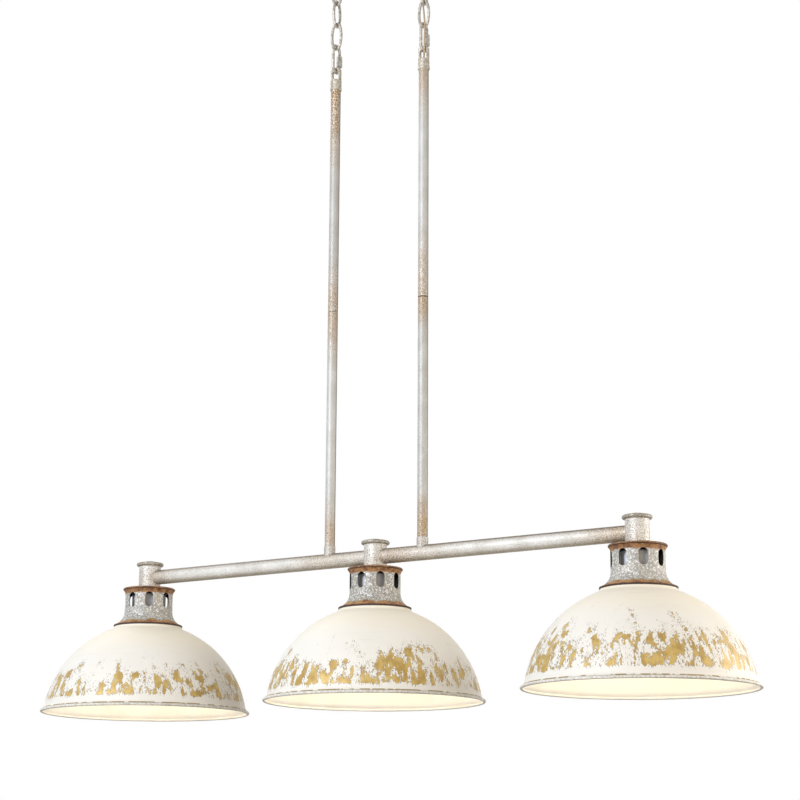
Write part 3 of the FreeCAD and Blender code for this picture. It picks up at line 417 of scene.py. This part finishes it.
def extruded_black_vinyl():
    """Extruded lead insulation: nearly black, with a dull bloom."""
    material, tree, shader, place, _ = start_finish("extruded_black_vinyl", Roughness=0.6)
    bloom = grain(tree, place, 4.0, 2.0, detail=3.0)
    end_finish(tree, shader, Base_Color=cover(tree, "#1D1C1B", "#2C2A28", bloom))
    return material


def dress(material, *names):
    for name in names:
        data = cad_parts[name].data
        data.materials.clear()
        data.materials.append(material)


JOINT_Z, SEAT_Z, TOP_Z = z_of(ROD_JOINT_H), z_of(ROD_BOTTOM_H), z_of(ROD_TOP_H)
dress(aged_pipe("aged_galvanised_rod_left_low", [(JOINT_Z, 85, 0.6), (SEAT_Z, 75, 0.65)],
                pepper=0.12, seam=SEAM_LEFT_SIDE), "rod_lower_left")
dress(aged_pipe("aged_galvanised_rod_left_high", [(JOINT_Z, 85, 0.6), (TOP_Z, 140, 1.0)], light="#C5C4C0",
                dark="#B9B7B1", pepper=0.12, white_share=0.75, seam=SEAM_LEFT_SIDE), "rod_upper_left")
dress(aged_pipe("aged_galvanised_rod_right_low", [(JOINT_Z, 55, 0.7), (SEAT_Z, 72, 0.9)], light="#C4C3BE",
                dark="#B8B6B0", pepper=0.12, seam=SEAM_RIGHT_SIDE), "rod_lower_right")
dress(aged_pipe("aged_galvanised_rod_right_high", [(JOINT_Z, 115, 0.6), (TOP_Z, 80, 0.6)],
                pepper=0.12, white_share=0.9, seam=SEAM_RIGHT_SIDE), "rod_upper_right")
dress(aged_pipe("aged_galvanised_seat", [(SEAT_Z, 30, 0.2)], pepper=0.6), "rod_seats")
dress(aged_pipe("aged_galvanised_bar_left", [(LAMPS["middle"], 90, 0.3), (SIDES["left"], 70, 0.35),
                                             (LAMPS["left"], 60, 0.5)], axis=0,
                light="#E4E2DC", dark="#D3D0C7"), "bar_left")
dress(aged_pipe("aged_galvanised_bar_right", [(LAMPS["middle"], 130, 0.6), (LAMPS["right"], 100, 0.65)], axis=0,
                light="#E4E2DC", dark="#D3D0C7"), "bar_right")
dress(aged_pipe("aged_galvanised_stub", [(z_of(STUB_FOOT_H), 14, 0.2)], light="#DFDBD3", dark="#D0CCC3",
                pepper=0.7), *[f"stub_{lamp}" for lamp in LAMPS])
dress(aged_pipe("aged_galvanised_cap", light="#ABA698", dark="#948E80", pepper=0.6),
      *[f"stub_cap_{lamp}" for lamp in LAMPS])
dress(aged_pipe("aged_galvanised_canopy", light="#D5D2C9", dark="#C3BFB4"), "canopy_shell", "canopy_ball_nuts")

for number, (lamp, x) in enumerate(LAMPS.items()):
    dress(spangled_zinc(f"spangled_zinc_{lamp}", x, 13.0 * number, NECK_BLOOM[lamp]), f"neck_{lamp}")
    dress(rusted_lid(f"rusted_spun_steel_{lamp}", x, 7.0 * number), f"neck_lid_{lamp}")
    dress(chipped_enamel(f"chipped_enamel_{lamp}", x, 37.0 * number, *CHIP_BANDS[lamp]), f"shade_{lamp}")
    dress(sprayed_grey(f"sprayed_grey_steel_{lamp}", x), f"husk_{lamp}")

dress(worn_plate("tarnished_zinc_plate_chain", "#D8D3CA", "#A59E90", metallic=0.35),
      *[f"chain_link_{place}_{side}" for place in ("top", "middle", "low") for side in SIDES],
      *[f"quick_link_{side}" for side in SIDES], *[f"canopy_loop_{side}" for side in SIDES])
dress(worn_plate("tarnished_zinc_plate_nut", "#D3D1CB", "#ACA89E", metallic=0.3),
      *[f"quick_link_nut_{side}" for side in SIDES])
dress(worn_plate("tarnished_zinc_plate_loop", "#D6CFC3", "#AEA592", metallic=0.3),
      *[f"rod_loop_{side}" for side in SIDES])
dress(worn_plate("bright_zinc_plate", "#C9CBCC", "#9EA1A3", metallic=0.85, rough=0.35), "crossbar", "canopy_studs",
      "loop_lock_nuts", "rod_couplings", "socket_stems", "stem_nuts")
dress(worn_plate("rolled_brass", "#D9B869", "#B08E45", metallic=0.95, rough=0.3), "screw_shells",
      *[f"bulb_base_{lamp}" for lamp in LAMPS])
dress(worn_plate("painted_steel_ring", "#E9E2D2", "#DAD1BE", metallic=0.0, rough=0.5), "shade_rings")
dress(glazed_porcelain(), *[f"lampholder_{lamp}" for lamp in LAMPS])
dress(blown_opal_glass(), *[f"bulb_globe_{lamp}" for lamp in LAMPS])
dress(extruded_black_vinyl(), "lamp_wiring")


# ---- the supply cord ----
CORD_R = 1.2
RIGHT = SIDES["right"]
# control points: x from the right-hand rod's axis, height, y
CORD_ROUTE = [
    (-20, CANOPY_FLOOR_H + 17, 9), (-8.5, CANOPY_FLOOR_H + 16.5, 3.8), (0, CANOPY_FLOOR_H + 10.5, 0),
    (0, RING_CENTRE_H + 7.5, 0), (4.3, TOP_LINK_H + LINK_LENGTH - 3, -4.3),
    (3.0, TOP_LINK_H + HALF_LINK, 0), (4.3, MIDDLE_LINK_H + LINK_LENGTH - 3, 4.3),
    (0, MIDDLE_LINK_H + HALF_LINK, 3.0), (-4.3, LOW_LINK_H + LINK_LENGTH - 3, 4.3),
    (0.3, LOW_LINK_H + HALF_LINK, 0), (4.3, LOW_LINK_H + 3, -4.6),
    (4.1, QUICK_LINK_H + 20, -5.2), (4.0, QUICK_LINK_H + 1.0, -5.3),
    (0, LOOP_BASE_H + 0.5, 0), (0, LOOP_BASE_H - 14, 0.25), (0, LOOP_BASE_H - 29, 0.25),
    (0, BAR_H + 24, 0), (0, BAR_H - 2.5, 0), (-26.5, BAR_H - 2.5, 0),
]
CORD_SPANS = [
    # piece, the two bodies it runs between, and the heights between which it passes from one to the other
    ("cord_canopy", "canopy", "link_top_right", 974.8, 956.8),
    ("cord_top", "link_top_right", "links_middle_low_right", 942.8, 925.8),
    ("cord_low", "links_middle_low_right", "quick_link_right", 879.4, 862.4),
    ("cord_rod", "quick_link_right", "light", 847.4, 823.4),
]
# heights at which one span ends and the next begins, each within one body and away from the bends
CORD_CUTS = [TOP_LINK_H + HALF_LINK, MIDDLE_LINK_H, LOW_LINK_H - 10.2]
CONDUCTOR_R = 0.4
CONDUCTOR_GAP = 0.45                    # from the cord's axis to each conductor's
CONDUCTOR_STRAIGHT = 3
CONDUCTOR_SPREAD = 7


def spline_points(route):
    """Points read off the smooth spline that has the route's points as its control points."""
    curve = bpy.data.curves.new("cord_line", "CURVE")
    curve.dimensions = "3D"
    curve.resolution_u = 10
    spline = curve.splines.new("NURBS")
    spline.points.add(len(route) - 1)
    for point, (x, h, y) in zip(spline.points, route):
        point.co = (*metres(RIGHT + x, y, h), 1.0)
    spline.order_u = 3
    spline.use_endpoint_u = True
    holder = bpy.data.objects.new("cord_line", curve)
    line = bpy.data.meshes.new_from_object(holder)
    points = [v.co.copy() for v in line.vertices]
    bpy.data.meshes.remove(line)
    bpy.data.objects.remove(holder)
    bpy.data.curves.remove(curve)
    return points


def tube(name, points, radius, material, sides=14):
    """Closed round tube along points, with flat ends."""
    rings, faces = [], []
    forward = (points[1] - points[0]).normalized()
    across = forward.orthogonal().normalized()
    for i, point in enumerate(points):
        ahead = points[min(i + 1, len(points) - 1)] - points[max(i - 1, 0)]
        turn = forward.rotation_difference(ahead.normalized())
        forward, across = ahead.normalized(), turn @ across
        side = forward.cross(across)
        rings += [point + radius * (across * math.cos(a) + side * math.sin(a))
                  for a in (2 * math.pi * k / sides for k in range(sides))]
    for i in range(len(points) - 1):
        for k in range(sides):
            a, b = i * sides + k, i * sides + (k + 1) % sides
            faces.append((a, b, b + sides, a + sides))
    faces.append(tuple(reversed(range(sides))))
    faces.append(tuple(range(len(rings) - sides, len(rings))))
    data = bpy.data.meshes.new(name)
    data.from_pydata(rings, [], faces)
    data.polygons.foreach_set("use_smooth", [len(f) == 4 for f in faces])
    data.materials.append(material)
    obj = bpy.data.objects.new(name, data)
    bpy.context.scene.collection.objects.link(obj)
    return obj


def cut_at(points, heights):
    """Splits points that run downwards at each height, and puts a shared point there."""
    runs, run = [], [points[0]]
    waiting = [z_of(h) * MM for h in heights]
    for before, after in zip(points, points[1:]):
        while waiting and before.z >= waiting[0] > after.z:
            meeting = before.lerp(after, (before.z - waiting[0]) / (before.z - after.z))
            runs.append(run + [meeting])
            run = [meeting]
            waiting.pop(0)
        run.append(after)
    return runs + [run]


vinyl = extruded_clear_vinyl()
line = spline_points(CORD_ROUTE)
cord_pieces = []
for (name, upper, lower, start, end), run in zip(CORD_SPANS, cut_at(line, CORD_CUTS)):
    piece = tube(name, run, CORD_R * MM, vinyl)
    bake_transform(piece)
    cord_pieces.append(piece)
for piece in cord_pieces:
    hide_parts("supply_cord")

# two bared conductors where the cord ends in the canopy, ready for the house wires
copper = drawn_copper()
away = (line[0] - line[1]).normalized()
for number, rise in enumerate((CONDUCTOR_GAP, -CONDUCTOR_GAP)):
    end = line[0] + Vector((0, 0, rise * MM))
    bend = end + away * CONDUCTOR_STRAIGHT * MM
    tip = bend + (away + Vector((0, 0, rise * 0.4))) * CONDUCTOR_SPREAD * MM
    bare = tube(f"cord_conductor_{number + 1}", [end, bend, tip], CONDUCTOR_R * MM, copper, sides=8)
    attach(bare, "canopy")


# ---- shading of the turned parts ----
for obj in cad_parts.values():
    obj.data.polygons.foreach_set("use_smooth", [True] * len(obj.data.polygons))


# ---- room ----
def seen_rays(tree):
    """1 for rays that show the background: from the camera, off metal and through glass."""
    path = add(tree, "ShaderNodeLightPath")
    seen = path.outputs["Is Camera Ray"]
    for kind in ("Is Glossy Ray", "Is Transmission Ray"):
        seen = add(tree, "ShaderNodeMath", {0: seen, 1: path.outputs[kind]}, operation="MAXIMUM").outputs[0]
    return seen


def build_world():
    """White where it is seen, and a soft warm light elsewhere."""
    world = bpy.data.worlds.new("white_room")
    world.use_nodes = True
    tree = world.node_tree
    tree.nodes.clear()
    seen = seen_rays(tree)
    back = add(tree, "ShaderNodeBackground", {"Color": cover(tree, "#FFF5E4", "#FFFFFF", seen),
                                              "Strength": share(tree, (seen, 0.0, 1.0, 0.35, 1.0))})
    add(tree, "ShaderNodeOutputWorld", {"Surface": back.outputs[0]})
    bpy.context.scene.world = world


def build_floor():
    """Pale floor of the room. Seen from above it is lifted to near white and keeps the shadow; a camera that
    is lower than it looks through it."""
    half, z = FLOOR_HALF * MM, -FLOOR_BELOW_CEILING * MM
    data = bpy.data.meshes.new("floor")
    data.from_pydata([(-half, -half, z), (half, -half, z), (half, half, z), (-half, half, z)], [], [(0, 1, 2, 3)])
    floor = bpy.data.objects.new("floor", data)
    bpy.context.scene.collection.objects.link(floor)
    material, tree, shader, place, _ = start_finish("matt_painted_floor", Roughness=0.9,
                                                    Emission_Color=rgb("#FFFFFF"))
    cloud = grain(tree, place, 400.0)
    end_finish(tree, shader, Base_Color=cover(tree, "#EAEFF8", "#EEF3FB", cloud),
               Emission_Strength=share(tree, seen_rays(tree), FLOOR_GLOW))
    clear = add(tree, "ShaderNodeBsdfTransparent")
    below = add(tree, "ShaderNodeNewGeometry").outputs["Backfacing"]
    open_below = add(tree, "ShaderNodeMixShader", {0: below, 1: shader.outputs[0], 2: clear.outputs[0]})
    output = next(node for node in tree.nodes if node.type == "OUTPUT_MATERIAL")
    tree.links.new(open_below.outputs[0], output.inputs["Surface"])
    data.materials.append(material)


build_world()
build_floor()


# ---- camera and lights: the camera's place and turn were fitted to the photograph ----
YAW, PITCH, ROLL = math.radians(32.531), math.radians(13.299), math.radians(0.315)
EYE = metres(1359.5, -2076.7, -208.5)
LENS = 91.16
SENSOR = 36.0
FAR_CLIP = 60.0
forward = Vector((-math.sin(YAW) * math.cos(PITCH), math.cos(YAW) * math.cos(PITCH), math.sin(PITCH)))
level = Vector((math.cos(YAW), math.sin(YAW), 0.0))
upright = level.cross(forward)
right = math.cos(ROLL) * level + math.sin(ROLL) * upright
up = math.cos(ROLL) * upright - math.sin(ROLL) * level

camera_data = bpy.data.cameras.new("camera")
camera_data.lens = LENS
camera_data.sensor_width = SENSOR
camera_data.clip_end = FAR_CLIP
camera = bpy.data.objects.new("camera", camera_data)
camera.matrix_world = Matrix.Translation(EYE) @ Matrix((right, up, -forward)).transposed().to_4x4()
bpy.context.scene.collection.objects.link(camera)
bpy.context.scene.camera = camera
bpy.context.scene.view_settings.view_transform = "Standard"

middle = metres(0, 0, 300)
right_shade = metres(LAMPS["right"], 0, 60)
LIGHTS = [
    # name, width, power, colour, what it points at, and how far from there: ahead, to the right, up
    ("key", 1.4, 76, "#EAF2FF", middle, -2.3, -2.0, 1.3),
    ("fill", 1.6, 12, "#FFE4C2", middle, -2.6, 1.3, 0.3),
    ("back", 1.8, 18, "#FFFFFF", middle, 2.2, -1.5, 1.9),
    ("side", 0.4, 3.0, "#FFFFFF", right_shade, 0.0, 0.65, 0.12),
]
for name, width, power, colour, target, ahead, rightward, rise in LIGHTS:
    data = bpy.data.lights.new(name, "AREA")
    data.shape = "DISK"
    data.size = width
    data.energy = power
    data.color = rgb(colour)[:3]
    lamp = bpy.data.objects.new(name, data)
    lamp.location = target + forward * ahead + level * rightward + Vector((0, 0, rise))
    lamp.rotation_euler = (target - lamp.location).to_track_quat("-Z", "Y").to_euler()
    bpy.context.scene.collection.objects.link(lamp)
